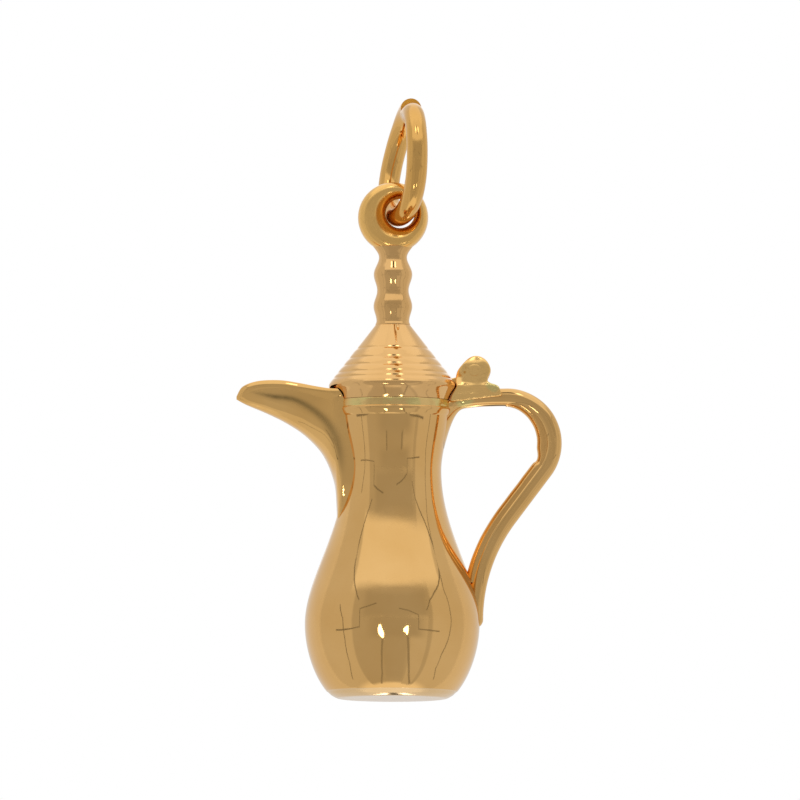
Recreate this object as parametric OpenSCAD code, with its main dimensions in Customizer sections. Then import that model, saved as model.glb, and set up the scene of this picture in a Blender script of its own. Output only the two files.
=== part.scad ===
// Gold charm in the form of a dallah, the long-beaked Arabic coffee pot.
// Millimetres. +Z is up, and the origin is the centre of the flat base.
// The spout points along -X and the handle along +X, so both lie in the XZ plane.

/* [Body] */
// Radius of the flat base
base_r = 2.72; // [2.5:0.02:2.9]
// Thickness of the base plate
base_t = 0.35; // [0.25:0.05:0.5]
// Largest radius of the belly
belly_r = 4.15; // [3.9:0.05:4.4]
// Height of the belly's widest point
belly_z = 3.56; // [3.3:0.05:3.9]
// Smallest radius of the neck
neck_r = 2.32; // [2.2:0.02:2.5]
// Height of the neck's waist
neck_z = 10.88; // [10.4:0.05:11.4]
// Radius of the neck at its top edge
mouth_r = 2.72; // [2.6:0.02:2.85]
// Height of the neck's top edge
neck_top_z = 14.0; // [13.6:0.05:14.5]
// Wall of the hollow body
wall = 0.35; // [0.25:0.05:0.45]

/* [Mouth collar] */
// Height of the bead ring on the neck
collar_h = 0.38; // [0.3:0.02:0.5]
// How far the bead stands out from the neck
collar_proud = 0.08; // [0.04:0.02:0.14]

/* [Spout] */
// Distance from the body's axis to the tip of the beak
spout_reach = 7.42; // [7:0.05:7.9]
// Height of the tip over the neck's top edge
spout_tip_rise = 0.36; // [0.1:0.05:0.5]
// Height of the top edge's hump over the neck's top edge
spout_hump = 1.08; // [0.9:0.02:1.2]
// How far down the neck the beak's keel reaches
spout_drop = 6; // [5.4:0.1:6.4]
// Half width of the open top where it meets the neck
spout_half_w = 1.45; // [1.2:0.05:1.6]
// Thickness of the beak's sheet
spout_wall = 0.28; // [0.2:0.02:0.35]
// How far the rolled lip stands out
lip_proud = 0.07; // [0.03:0.01:0.12]
// Height of the rolled lip
lip_h = 0.4; // [0.3:0.05:0.55]
// Radius of the hole from the neck into the beak
pour_hole_r = 0.6; // [0.4:0.05:0.8]
// How far the pour hole's centre lies under the neck's top edge
pour_hole_drop = 1.1; // [1:0.05:1.5]

/* [Handle] */
// Radius of the round outer rod
rod_r = 0.42; // [0.38:0.01:0.46]
// Radius of the bulge along the rod's centre
bulge_r = 2.19; // [2:0.05:2.4]
// Lean of the lower arm from upright, in degrees
arm_lean = 36.8; // [34:0.2:40]
// Radius of the tail's bend along the rod's centre
tail_r = 8.1; // [7:0.1:9]
// Radius of the slow bend of the top arm
arm_bend_r = 18; // [14:0.5:24]
// Height of the tail's end
foot_z = 3.78; // [3.5:0.05:4.2]
// How deep the tail's centre lies inside the belly's widest radius
foot_sink = 0.25; // [0.15:0.01:0.35]
// Radius of the inner ribs
rib_r = 0.35; // [0.3:0.01:0.38]
// How far the upper rib stands in from the rod at its middle
upper_rib_proud = 0.33; // [0.25:0.01:0.4]
// How far the lower rib stands in from the rod
lower_rib_proud = 0.21; // [0.16:0.01:0.3]
// How far the fillet at the handle's root reaches out along the top arm
root_reach = 0.8; // [0.6:0.05:1.1]
// How far the fillet at the handle's root reaches down the neck
root_drop = 1.1; // [0.9:0.05:1.4]

/* [Lid] */
// Running gap between the closed lid and the collar
lid_gap = 0.02; // [0.01:0.01:0.05]
// How far the lid's lower edge stands out over the neck's top edge
lid_seat_out = 0.04; // [0:0.01:0.1]
// How far the lid's rim stands out over its lower edge
lid_flare = 0.26; // [0.18:0.02:0.34]
// Height of the flared band under the rim
lid_band_h = 0.58; // [0.4:0.02:0.7]
// Height of the cone over the rim
cone_h = 2.8; // [2.5:0.05:3.1]
// Radius of the cone's small end
cone_top_r = 0.83; // [0.7:0.01:0.95]
// Number of turned ridges on the cone
ridges = 4; // [2:1:5]
// Spacing of the ridges
ridge_pitch = 0.35; // [0.28:0.01:0.4]
// Depth of the turned grooves
groove_d = 0.05; // [0.03:0.01:0.08]
// Radial clearance of the flange in the mouth
flange_gap = 0.15; // [0.12:0.01:0.2]
// How far the flange reaches down into the mouth
flange_drop = 0.34; // [0.2:0.02:0.4]
// Wall of the flange
flange_wall = 0.35; // [0.25:0.05:0.45]

/* [Finial and loop] */
// Radius of the finial's two beads
bead_r = 0.92; // [0.85:0.01:1]
// Radius of the finial's waists
waist_r = 0.75; // [0.65:0.01:0.8]
// Radius of the finial's neck, under the loop
stem_r = 0.66; // [0.58:0.01:0.72]
// Height of the first bead's middle over the cone
first_bead_h = 0.9; // [0.8:0.02:1]
// Distance between the middles of the beads
bead_pitch = 1.52; // [1.4:0.02:1.7]
// Height of the finial's neck over the second bead's middle
stem_h = 0.84; // [0.76:0.02:0.92]
// Gap between the finial's neck and the loop's lowest point
loop_gap = 0.2; // [0.1:0.02:0.3]
// Radius of the spigot that the finial has in the lid
spigot_r = 0.4; // [0.3:0.02:0.5]
// Length of that spigot
spigot_h = 0.4; // [0.3:0.05:0.5]
// Outer radius of the suspension loop
loop_r = 1.67; // [1.55:0.01:1.8]
// Thickness of the loop, front to back
loop_t = 1.4; // [1.2:0.05:1.5]
// Depth of the flare at each end of the loop's hole
hole_lip = 0.3; // [0.2:0.02:0.36]
// Radius of the loop's hole
loop_hole_r = 0.69; // [0.68:0.01:0.8]
// How far the hole lies to the handle's side of the loop's centre
hole_shift_x = 0.33; // [0.2:0.01:0.36]
// How far the hole lies above the loop's centre
hole_shift_z = 0.19; // [0.1:0.01:0.25]

/* [Jump ring] */
// Radius of the ring's wire
wire_r = 0.5; // [0.4:0.01:0.5]
// Radius of the ring along the wire's centre
ring_r = 2.515; // [2.35:0.01:2.7]
// Width of the split at the top of the ring
ring_split = 0.05; // [0.02:0.01:0.1]
// Turn of the ring from square across the loop, in degrees
ring_turn = 14.4; // [0:0.2:16]
// Lean of the ring from upright, in degrees
ring_lean = 6.7; // [0:0.1:12]
// How far the ring lies in its hole towards the spout
ring_shift = 0.07; // [0:0.01:0.08]

/* [Hinge] */
// Distance of the pin's axis outside the lid's rim
hinge_out = 0.86; // [0.8:0.02:1]
// Height of the pin's axis over the collar
hinge_up = 1.2; // [1.18:0.02:1.34]
// Radius of the two ears
ear_r = 0.72; // [0.68:0.01:0.78]
// Thickness of each ear
ear_t = 0.34; // [0.28:0.02:0.4]
// Width of the lid's knuckle between the ears
knuckle_w = 0.46; // [0.4:0.02:0.56]
// Radius of the knuckle
knuckle_r = 0.6; // [0.54:0.01:0.66]
// How far the hinge's foot reaches along the top arm from the pin's axis
toe_reach = 1.12; // [0.9:0.02:1.3]
// Gap at each side of the knuckle
knuckle_gap = 0.03; // [0.02:0.01:0.05]
// Radius of the pin
pin_r = 0.25; // [0.2:0.01:0.3]
// Radial clearance of the knuckle on the pin
pin_gap = 0.03; // [0.02:0.01:0.05]
// Radius of the pin's riveted heads
pin_head_r = 0.36; // [0.32:0.01:0.45]
// Height of the pin's riveted heads
pin_head_h = 0.05; // [0.03:0.01:0.08]

/* [Hidden] */
$fn = 96;

// Golds: the polished metal, the paler solder-worked parts and the deeper worn ones.
gold = [0.83, 0.64, 0.36];
pale_gold = [0.85, 0.72, 0.44];
deep_gold = [0.78, 0.55, 0.24];

// Pieces that are cut to fit each other reach this far past the cut.
past = 0.3;
// Room between a fixed piece and the lid's outer surface.
lid_room = 0.1;
// Film of solder between the handle's rod and its ribs.
solder = 0.01;

// Heights that follow from each other, from the collar up to the jump ring.
seam_z = neck_top_z + collar_h;
lid_z = seam_z + lid_gap;
rim_z = lid_z + lid_band_h;
apex_z = rim_z + cone_h;
lower_waist_z = apex_z + 0.22 * first_bead_h;
lower_bead_z = apex_z + first_bead_h;
upper_bead_z = lower_bead_z + bead_pitch;
mid_waist_z = (lower_bead_z + upper_bead_z) / 2;
stem_z = upper_bead_z + stem_h;
loop_z = stem_z + loop_gap + loop_r;
hole_x = hole_shift_x;
hole_z = loop_z + hole_shift_z;

// Radii of the lid's lower edge and rim.
lid_seat_r = mouth_r + lid_seat_out;
lid_rim_r = lid_seat_r + lid_flare;

// The hinge's axis, and the widths that stack up along the pin.
hinge_x = lid_rim_r + hinge_out;
hinge_z = seam_z + hinge_up;
slot_w = knuckle_w + 2 * knuckle_gap;
fork_w = slot_w + 2 * ear_t;
slot_floor_z = hinge_z - knuckle_r - 0.2;

// The rod's centre line: a top arm, a round bulge, a straight lower arm and a tail on the belly.
handle_z = seam_z - 0.02;
foot_x = belly_r - foot_sink;
bulge_turn = 90 + arm_lean;
lower_arm_l = (handle_z - foot_z - bulge_r * (1 - cos(bulge_turn)) - tail_r * sin(arm_lean)) / cos(arm_lean);
handle_x = foot_x - bulge_r * sin(bulge_turn) + lower_arm_l * sin(arm_lean) + tail_r * (1 - cos(arm_lean));
bulge_at = [handle_x, handle_z - bulge_r];
bulge_end = bulge_at + bulge_r * [cos(arm_lean), -sin(arm_lean)];
tail_at = [foot_x + tail_r, foot_z];

// A point of a cubic Bezier curve.
function bezier(p, t) =
    pow(1 - t, 3) * p[0] + 3 * pow(1 - t, 2) * t * p[1] + 3 * (1 - t) * t * t * p[2] + t * t * t * p[3];
function curve(p, steps, first = 0) = [for (i = [first:steps]) bezier(p, i / steps)];

// A point of the smooth Catmull-Rom curve through a list of points.
function knot(p, i) = p[max(0, min(len(p) - 1, i))];
function smooth_at(p, u) =
    let (i = min(floor(u), len(p) - 2), t = u - i)
    let (a = knot(p, i - 1), b = knot(p, i), c = knot(p, i + 1), d = knot(p, i + 2))
    b + t / 2 * ((c - a) + t * ((2 * a - 5 * b + 4 * c - d) + t * (3 * b - a - 3 * c + d)));

// A height between two others, rising as half a cosine wave.
function ease(a, b, t) = a + (b - a) * (1 - cos(180 * t)) / 2;
function waves(p, steps) = concat([p[0]],
    [for (i = [1:len(p) - 1]) for (k = [1:steps])
        [ease(p[i - 1][0], p[i][0], k / steps), p[i - 1][1] + (p[i][1] - p[i - 1][1]) * k / steps]]);

// Half profile of the body's outside: foot, belly, waist and mouth.
side_h = neck_z - belly_z;
throat_h = neck_top_z - neck_z;
foot_curve = [[base_r, 0], [(base_r + belly_r) / 2, 0.13 * belly_z], [belly_r, 0.56 * belly_z], [belly_r, belly_z]];
side_curve = [[belly_r, belly_z], [belly_r, belly_z + 0.3 * side_h], [neck_r, neck_z - 0.41 * side_h], [neck_r, neck_z]];
throat_curve = [[neck_r, neck_z], [neck_r, neck_z + 0.27 * throat_h],
    [mouth_r - 0.13 * (mouth_r - neck_r), neck_top_z - 0.45 * throat_h], [mouth_r, neck_top_z]];
pot_profile = concat(curve(foot_curve, 9), curve(side_curve, 14, 1), curve(throat_curve, 7, 1));
// The profile's part above the base plate, starting on the plate's top face.
plate_edge_r = profile_r(pot_profile, base_t);
shell_profile = concat([[plate_edge_r, base_t]], [for (p = pot_profile) if (p[1] > base_t + 0.01) p]);

// Radius of a profile at a height.
function profile_r(p, z) =
    let (i = [for (k = [0:len(p) - 2]) if (p[k][1] <= z && p[k + 1][1] >= z) k][0])
    p[i][0] + (p[i + 1][0] - p[i][0]) * (z - p[i][1]) / (p[i + 1][1] - p[i][1]);

function reversed(p) = [for (i = [len(p) - 1:-1:0]) p[i]];

// Turns a half profile about the Z axis.
module turned(profile) {
    rotate_extrude() polygon(profile);
}

// An upright plate with its outline in the XZ plane, centred on y = 0.
module plate_xz(outline, thick) {
    translate([0, thick / 2, 0]) rotate([90, 0, 0]) linear_extrude(thick) polygon(outline);
}

// A cylinder along Y, centred on y = 0.
module bar_y(at, r, length) {
    translate([at[0], 0, at[1]]) rotate([90, 0, 0]) cylinder(r = r, h = length, center = true);
}

// A round wire bent about a Y axis through "at", from one angle to another, both measured from +X to +Z.
module bent_wire(at, bend_r, from, to, r) {
    translate([at[0], 0, at[1]]) rotate([90, 0, 0])
        rotate([0, 0, from]) rotate_extrude(angle = to - from) translate([bend_r, 0]) circle(r);
}

// Everything inside the pot's outer surface, up to the lid's lower edge: what is soldered on is cut to it.
collar_r = mouth_r + collar_proud;
collar_profile = concat([[mouth_r, neck_top_z]],
    [for (a = [-90:30:90]) [mouth_r + collar_proud * cos(a), neck_top_z + collar_h / 2 * (1 + sin(a))]]);
module pot_solid() {
    turned(concat([[0, 0]], pot_profile, collar_profile, [[mouth_r, lid_z], [0, lid_z]]));
}

module pot_body() {
    inner = [for (p = shell_profile) [p[0] - wall, p[1]]];
    color(gold) difference() {
        turned(concat(shell_profile, reversed(inner)));
        translate([-mouth_r, 0, neck_top_z - pour_hole_drop]) rotate([0, 90, 0])
            cylinder(r = pour_hole_r, h = 2 * wall + 1, center = true);
    }
}

module base_plate() {
    color(gold) turned(concat([[0, 0]], [for (p = pot_profile) if (p[1] < base_t) p],
        [[plate_edge_r, base_t], [0, base_t]]));
}

module mouth_collar() {
    color(pale_gold) turned(concat([[mouth_r - wall, neck_top_z]], collar_profile, [[mouth_r - wall, seam_z]]));
}

// The lid's outside, from its lower edge over the flared band, the rim and the ridges to the apex.
band_curve = [[lid_seat_r, lid_z], [lid_seat_r + 0.06, lid_z + lid_band_h / 2],
    [lid_rim_r, rim_z - 0.2], [lid_rim_r, rim_z - 0.04]];
cone_slope = (lid_rim_r - cone_top_r) / cone_h;
function cone_r(z) = lid_rim_r - (z - rim_z) * cone_slope;
ridge_z = [for (i = [0:ridges]) rim_z + 0.42 + i * ridge_pitch];
groove_points = [for (z = ridge_z) for (k = [-1, 0, 1])
    [cone_r(z + 0.07 * k) - (k == 0 ? groove_d : 0), z + 0.07 * k]];
lid_profile = concat(curve(band_curve, 6), [[lid_rim_r - 0.03, rim_z]], groove_points, [[cone_top_r, apex_z]]);

// The lid's space with some room round it, for cutting the fixed pieces beside it.
module lid_room_solid() {
    turned([[0, lid_z], [lid_seat_r + lid_room, lid_z], [lid_rim_r + lid_room, rim_z - 0.2],
        [lid_rim_r + lid_room, rim_z + 0.05], [cone_top_r + lid_room, apex_z + 0.05], [0, apex_z + 0.05]]);
}

// The flange's seat is a straight land inside the lid's lower edge.
land_r = lid_seat_r - wall;
land_h = 0.3;
module lid_cone() {
    across = wall * sqrt(1 + cone_slope * cone_slope);
    bore_z = rim_z + (lid_rim_r - across - spigot_r) / cone_slope;
    color(gold) turned(concat(lid_profile, [[spigot_r, apex_z], [spigot_r, bore_z],
        [lid_rim_r - across, rim_z], [land_r, lid_z + land_h], [land_r, lid_z]]));
}

module lid_flange() {
    flange_r = mouth_r - wall - flange_gap;
    bore_r = flange_r - flange_wall;
    bottom_z = seam_z - flange_drop;
    color(pale_gold) turned([[bore_r, bottom_z], [flange_r, bottom_z], [flange_r, lid_z],
        [land_r, lid_z], [land_r, lid_z + land_h], [bore_r, lid_z + land_h]]);
}

// Outer form of the loop before its hole is drilled: a disc with a fully rounded edge.
module loop_solid() {
    edge_r = 0.9 * loop_t / 2;
    flat = loop_t / 2 - edge_r;
    edge = [for (a = [-90:15:90]) [loop_r - edge_r + edge_r * cos(a), edge_r * sin(a) + sign(a) * flat]];
    translate([0, 0, loop_z]) rotate([90, 0, 0])
        rotate_extrude() polygon(concat([[0, -loop_t / 2]], edge, [[0, loop_t / 2]]));
}

module suspension_loop() {
    color(gold) difference() {
        loop_solid();
        bar_y([hole_x, hole_z], loop_hole_r, loop_t + past);
        for (side = [0, 180])
            translate([hole_x, 0, hole_z]) rotate([90, 0, side]) translate([0, 0, loop_t / 2])
                rotate_extrude() polygon([[0, -hole_lip], [loop_hole_r, -hole_lip],
                    [loop_hole_r + 0.23 * hole_lip, -0.6 * hole_lip], [loop_hole_r + hole_lip, past / 3], [0, past / 3]]);
    }
}

module finial() {
    // The stem ends inside the loop, which is cut out of it.
    stem_top_z = stem_z + 2.5 * loop_gap;
    turned_part = waves([[cone_top_r, apex_z], [1.04 * waist_r, lower_waist_z], [bead_r, lower_bead_z],
        [waist_r, mid_waist_z], [bead_r, upper_bead_z], [stem_r, stem_z], [1.12 * stem_r, stem_top_z]], 6);
    color(gold) difference() {
        turned(concat([[0, apex_z - spigot_h], [spigot_r, apex_z - spigot_h], [spigot_r, apex_z]],
            turned_part, [[0, stem_top_z]]));
        loop_solid();
    }
}

module jump_ring() {
    split_angle = ring_split / ring_r * 180 / PI;
    color(gold) translate([hole_x - ring_shift, 0, hole_z]) rotate([0, ring_lean, 0]) rotate([0, 0, ring_turn])
        translate([0, 0, ring_r]) rotate([0, -90, 0]) rotate([0, 0, split_angle / 2])
        rotate_extrude(angle = 360 - split_angle) translate([ring_r, 0]) circle(wire_r);
}

// The beak: its top edge and its keel in the XZ plane, both from the tip to the root inside the neck.
tip = [-spout_reach, neck_top_z + spout_tip_rise];
root_x = -neck_r;
spout_l = spout_reach - neck_r;
// A place on the beak, as shares of its length and of the hump's height or the keel's drop.
function over(along, share) = [root_x - spout_l * along, neck_top_z + share * spout_hump];
function under(along, share) = [root_x - spout_l * along, neck_top_z - share * spout_drop];
top_edge = [tip, over(0.94, 0.74), over(0.8, 0.97), over(0.6, 1), over(0.43, 0.88), over(0.27, 0.72),
    over(0.13, 0.54), over(0.03, 0.38), over(-0.08, 0.24)];
keel = [tip - [0, spout_wall / 2], under(0.905, 0.007), under(0.72, 0.073), under(0.53, 0.153), under(0.35, 0.257),
    under(0.19, 0.408), under(0.09, 0.617), under(0.066, 0.817), under(0.06, 1)];
width_share = [0.06, 0.25, 0.42, 0.56, 0.69, 0.82, 0.94, 1, 1];
spout_steps = 3;
spout_sides = 14;

// One half ellipse across the beak from rim to rim, hung from the top edge at u.
function beak_arc(u, cut, lip) =
    let (top = smooth_at(top_edge, u), low = smooth_at(keel, u))
    let (depth = norm(low - top), down = (low - top) / depth, half_w = spout_half_w * smooth_at(width_share, u))
    let (in_depth = max(depth - cut, 0.02), in_w = max(half_w - cut, 0.02))
    [for (k = [0:spout_sides])
        let (a = 180 * k / spout_sides, drop = in_depth * sin(a))
        let (roll = lip * max(0, 1 - pow(drop / lip_h, 2)) * sign(cos(a)) * min(1, half_w / 0.5))
        let (at = top + down * drop)
        [at[0], in_w * cos(a) + roll, at[1]]];
function beak_ring(u) = concat(beak_arc(u, 0, lip_proud), reversed(beak_arc(u, spout_wall, 0)));

// A closed skin over rings that all have the same number of points.
module skin(rings) {
    n = len(rings[0]);
    m = len(rings);
    sides = [for (j = [0:m - 2]) for (i = [0:n - 1]) let (a = j * n + i, b = j * n + (i + 1) % n)
        each [[a, b, a + n], [b, b + n, a + n]]];
    // The end caps of a U-shaped ring are strips between its outer and its inner arc.
    caps = [for (i = [0:n / 2 - 2]) let (a = i, b = i + 1, c = n - 2 - i, d = n - 1 - i, e = (m - 1) * n)
        each [[a, d, b], [b, d, c], [e + a, e + b, e + d], [e + b, e + c, e + d]]];
    polyhedron([for (r = rings) each r], concat(sides, caps));
}

module spout() {
    last = (len(top_edge) - 1) * spout_steps;
    color(gold) difference() {
        skin([for (j = [0:last]) beak_ring(j / spout_steps)]);
        pot_solid();
        lid_room_solid();
    }
}

// A closed skin over rings that all have the same number of points, with flat ends.
module swept(rings) {
    n = len(rings[0]);
    m = len(rings);
    sides = [for (j = [0:m - 2]) for (i = [0:n - 1]) let (a = j * n + i, b = j * n + (i + 1) % n)
        each [[a, a + n, b], [b, a + n, b + n]]];
    caps = [[for (i = [0:n - 1]) i], [for (i = [n - 1:-1:0]) (m - 1) * n + i]];
    polyhedron([for (r = rings) each r], concat(sides, caps));
}

// A place on a bar in the XZ plane is [centre, heading]: the heading is its angle of travel from +X to +Z.
// This puts a section's points there, each given as [towards the neck's side, y].
function placed(spot, section) = [for (p = section)
    [spot[0][0] + p[0] * sin(spot[1]), p[1], spot[0][1] - p[0] * cos(spot[1])]];
rod_sides = 16;
function oval_section(rx, ry) = [for (k = [0:rod_sides - 1])
    [rx * cos(360 * k / rod_sides), ry * sin(360 * k / rod_sides)]];
function round_section(r) = oval_section(r, r);

// Places on an arc about "at", turned clockwise (turn = -1) or anticlockwise (turn = 1), and on a line.
function arc_spots(at, bend, from, to, steps, turn, first = 0) = [for (i = [first:steps])
    let (a = from + (to - from) * i / steps) [at + bend * [cos(a), sin(a)], a + 90 * turn]];
function line_spots(from, heading, length, steps) = [for (i = [1:steps])
    [from + length * i / steps * [cos(heading), sin(heading)], heading]];

// The rod's course from one angle on the bulge down to another on the tail.
down_heading = -90 - arm_lean;
function lower_spots(top_angle, tail_angle, first = 0) = concat(
    arc_spots(bulge_at, bulge_r, top_angle, -arm_lean, 3, -1, first),
    line_spots(bulge_end, down_heading, lower_arm_l, 5),
    arc_spots(tail_at, tail_r, 180 - arm_lean, tail_angle, 9, 1, 1));

// Height and heading of the rod on the top arm, and how much its root fillet has grown there.
function arm_z(x) = handle_z - arm_bend_r + sqrt(pow(arm_bend_r, 2) - pow(handle_x - x, 2));
function arm_heading(x) = asin((handle_x - x) / arm_bend_r);
root_start_x = mouth_r - 0.12;
root_end_x = root_start_x + root_reach;
function root_growth(x) = root_drop * pow(max(0, min(1, (root_end_x - x) / root_reach)), 2.3);
root_steps = [0, 0.06, 0.13, 0.21, 0.31, 0.43, 0.6, 0.8];
arm_xs = concat([root_start_x - past], [for (e = root_steps) root_start_x + e * root_reach],
    [for (i = [0:2]) root_end_x + (handle_x - root_end_x) * i / 3]);

// The whole rod, before it is cut to the body and the lid.
kink_angle = -30;
module rod_solid() {
    // The root fillet deepens the arm by far more than it widens it.
    arm = [for (x = arm_xs) let (grown = root_growth(x) / 2)
        placed([[x, arm_z(x) - grown], arm_heading(x)], oval_section(rod_r + grown, rod_r + 0.3 * grown))];
    course = concat(arc_spots(bulge_at, bulge_r, 90, kink_angle, 20, -1), lower_spots(kink_angle, 180, 1));
    foot = course[len(course) - 1];
    // The foot closes in like a ball.
    ends = [for (a = [30, 60, 80])
        placed([foot[0] - [0, rod_r * sin(a)], foot[1]], round_section(rod_r * cos(a)))];
    swept(concat(arm, [for (spot = course) placed(spot, round_section(rod_r))], ends));
}

module handle_rod() {
    color(gold) difference() {
        rod_solid();
        pot_solid();
        lid_room_solid();
    }
}

// A rib's section beside the rod, standing out from it by "proud": hollow on the rod's side.
// Its two edges are blunt, because its round side stops at this share of the way to the rod.
rib_sides = 8;
rib_edge_share = 0.9;
function rib_section(proud) =
    let (seat_r = rod_r + solder, d = seat_r + proud - rib_r)
    let (meet = acos((d * d + seat_r * seat_r - rib_r * rib_r) / (2 * d * seat_r)))
    let (b = rib_edge_share * atan2(seat_r * sin(meet), seat_r * cos(meet) - d))
    let (a = asin(min(1, rib_r * sin(b) / seat_r)))
    concat([for (k = [0:rib_sides]) [d + rib_r * cos(b - 2 * b * k / rib_sides), rib_r * sin(b - 2 * b * k / rib_sides)]],
        [for (k = [0:rib_sides]) seat_r * [cos(-a + 2 * a * k / rib_sides), sin(-a + 2 * a * k / rib_sides)]]);
module rib(spots, prouds) {
    skin([for (i = [0:len(spots) - 1]) placed(spots[i], rib_section(prouds[i]))]);
}

// The upper rib swells round the bulge and drops back at the kink, where the lower one starts.
rib_end_proud = 0.04;
kink_proud = 0.16;
module handle_upper_rib() {
    spots = arc_spots(bulge_at, bulge_r, 92, kink_angle, 20, -1);
    rise = [for (i = [0:16]) rib_end_proud + (upper_rib_proud - rib_end_proud) * sin(90 * i / 16)];
    drop = [for (i = [1:4]) ease(upper_rib_proud, kink_proud, i / 4)];
    color(deep_gold) rib(spots, concat(rise, drop));
}

// The lower rib runs on into the body, which cuts its end off.
rib_end_angle = 172;
module handle_lower_rib() {
    spots = lower_spots(kink_angle, rib_end_angle);
    n = len(spots) - 1;
    prouds = [for (i = [0:n]) i < 4 ? ease(kink_proud, lower_rib_proud, i / 4) : lower_rib_proud];
    color(deep_gold) difference() {
        rib(spots, prouds);
        pot_solid();
    }
}

module hinge_fork() {
    // A post under the ears that widens into a foot on the top arm.
    back_x = hinge_x - 0.9 * ear_r;
    toe_x = hinge_x + toe_reach;
    post = [[hinge_x - 0.98 * ear_r, hinge_z - 0.33 * ear_r], [back_x, arm_z(back_x)],
        [toe_x + rod_r / 2, arm_z(toe_x + rod_r / 2)], [toe_x, arm_z(toe_x) + 1.07 * rod_r],
        [hinge_x + 0.8 * ear_r, hinge_z - 0.6 * ear_r]];
    color(pale_gold) difference() {
        union() {
            bar_y([hinge_x, hinge_z], ear_r, fork_w);
            plate_xz(post, fork_w);
        }
        translate([hinge_x - 2, -slot_w / 2, slot_floor_z]) cube([4, slot_w, 3]);
        bar_y([hinge_x, hinge_z], pin_r, fork_w + 1);
        bent_wire([handle_x, handle_z - arm_bend_r], arm_bend_r, 90, 90 + arm_heading(mouth_r - past), rod_r);
        pot_solid();
        lid_room_solid();
    }
}

module hinge_pin() {
    half_l = fork_w / 2;
    color(pale_gold) translate([hinge_x, 0, hinge_z]) rotate([90, 0, 0])
        rotate_extrude() polygon([[0, -half_l - pin_head_h], [0.7 * pin_head_r, -half_l - pin_head_h],
            [pin_head_r, -half_l], [pin_r, -half_l], [pin_r, half_l], [pin_head_r, half_l],
            [0.7 * pin_head_r, half_l + pin_head_h], [0, half_l + pin_head_h]]);
}

module lid_hinge_strap() {
    // The strap's upper edge is a tangent of the knuckle that runs down onto the cone.
    rise = 48;
    touch = [hinge_x, hinge_z] + knuckle_r * [-sin(rise), cos(rise)];
    inside_x = lid_rim_r - 0.45;
    strap = [touch, [inside_x, touch[1] - (touch[0] - inside_x) * tan(rise)], [inside_x, rim_z - 0.22],
        [lid_rim_r + 0.1, rim_z - 0.13], [hinge_x - 0.1, hinge_z - knuckle_r + 0.01], [hinge_x, hinge_z]];
    color(gold) difference() {
        union() {
            bar_y([hinge_x, hinge_z], knuckle_r, knuckle_w);
            plate_xz(strap, knuckle_w);
        }
        bar_y([hinge_x, hinge_z], pin_r + pin_gap, knuckle_w + 1);
        turned(concat([[0, lid_z]], lid_profile, [[0, apex_z]]));
    }
}

pot_body();
base_plate();
mouth_collar();
spout();
handle_rod();
handle_upper_rib();
handle_lower_rib();
hinge_fork();
hinge_pin();
lid_cone();
lid_flange();
lid_hinge_strap();
finial();
suspension_loop();
jump_ring();
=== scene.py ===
# A gold dallah charm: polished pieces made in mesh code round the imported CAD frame.
# The pieces' sizes are in millimetres, in the CAD's frame. The stage round them is in metres.
import math

import bmesh
import bpy
from mathutils import Matrix, Quaternion, Vector, noise


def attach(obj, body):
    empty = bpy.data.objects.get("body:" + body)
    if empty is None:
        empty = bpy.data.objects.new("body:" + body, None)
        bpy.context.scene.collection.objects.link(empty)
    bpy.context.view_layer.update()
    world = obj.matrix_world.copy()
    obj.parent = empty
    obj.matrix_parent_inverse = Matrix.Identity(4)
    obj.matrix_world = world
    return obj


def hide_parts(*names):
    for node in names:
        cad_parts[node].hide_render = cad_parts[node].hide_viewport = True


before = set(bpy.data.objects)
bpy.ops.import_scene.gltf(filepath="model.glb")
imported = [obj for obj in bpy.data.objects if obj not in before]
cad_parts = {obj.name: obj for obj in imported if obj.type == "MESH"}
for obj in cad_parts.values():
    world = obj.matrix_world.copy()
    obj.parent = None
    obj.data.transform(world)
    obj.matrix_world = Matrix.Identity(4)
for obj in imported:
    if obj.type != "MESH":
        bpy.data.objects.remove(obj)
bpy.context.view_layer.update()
MM = 0.001

# ---------------------------------------------------------------- sizes, as in the CAD
BASE_R, BASE_T, BELLY_R, BELLY_Z = 2.72, 0.35, 4.15, 3.56
NECK_R, NECK_Z, MOUTH_R, NECK_TOP_Z, WALL = 2.32, 10.88, 2.72, 14.0, 0.35
COLLAR_H, LID_GAP = 0.38, 0.02
SEAM_Z = NECK_TOP_Z + COLLAR_H
LID_Z = SEAM_Z + LID_GAP
LID_SEAT_R, LID_RIM_R, LID_BAND_H = 2.76, 3.02, 0.58
RIM_Z = LID_Z + LID_BAND_H
CONE_H, CONE_TOP_R = 2.8, 0.83
APEX_Z = RIM_Z + CONE_H
CONE_SLOPE = (LID_RIM_R - CONE_TOP_R) / CONE_H
BEAD_R, WAIST_R, STEM_R = 0.92, 0.75, 0.66
BEAD_RISE, BEAD_PITCH, STEM_RISE = 0.9, 1.52, 0.84
LOWER_BEAD_Z = APEX_Z + BEAD_RISE
UPPER_BEAD_Z = LOWER_BEAD_Z + BEAD_PITCH
STEM_Z = UPPER_BEAD_Z + STEM_RISE
LOOP_R, LOOP_T, LOOP_HOLE_R, LOOP_GAP = 1.67, 1.4, 0.69, 0.2
LOOP_Z = STEM_Z + LOOP_GAP + LOOP_R
HOLE = (0.33, LOOP_Z + 0.19)
WIRE_R, RING_R, RING_SPLIT, RING_LEAN, RING_SHIFT = 0.5, 2.515, 0.05, 6.7, 0.07
HINGE = (3.88, SEAM_Z + 1.2)
EAR_T, KNUCKLE_W, KNUCKLE_R, KNUCKLE_GAP = 0.34, 0.46, 0.6, 0.03
SLOT_W = KNUCKLE_W + 2 * KNUCKLE_GAP
FORK_W = SLOT_W + 2 * EAR_T
PIN_R, PIN_HEAD_R = 0.25, 0.36
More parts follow.
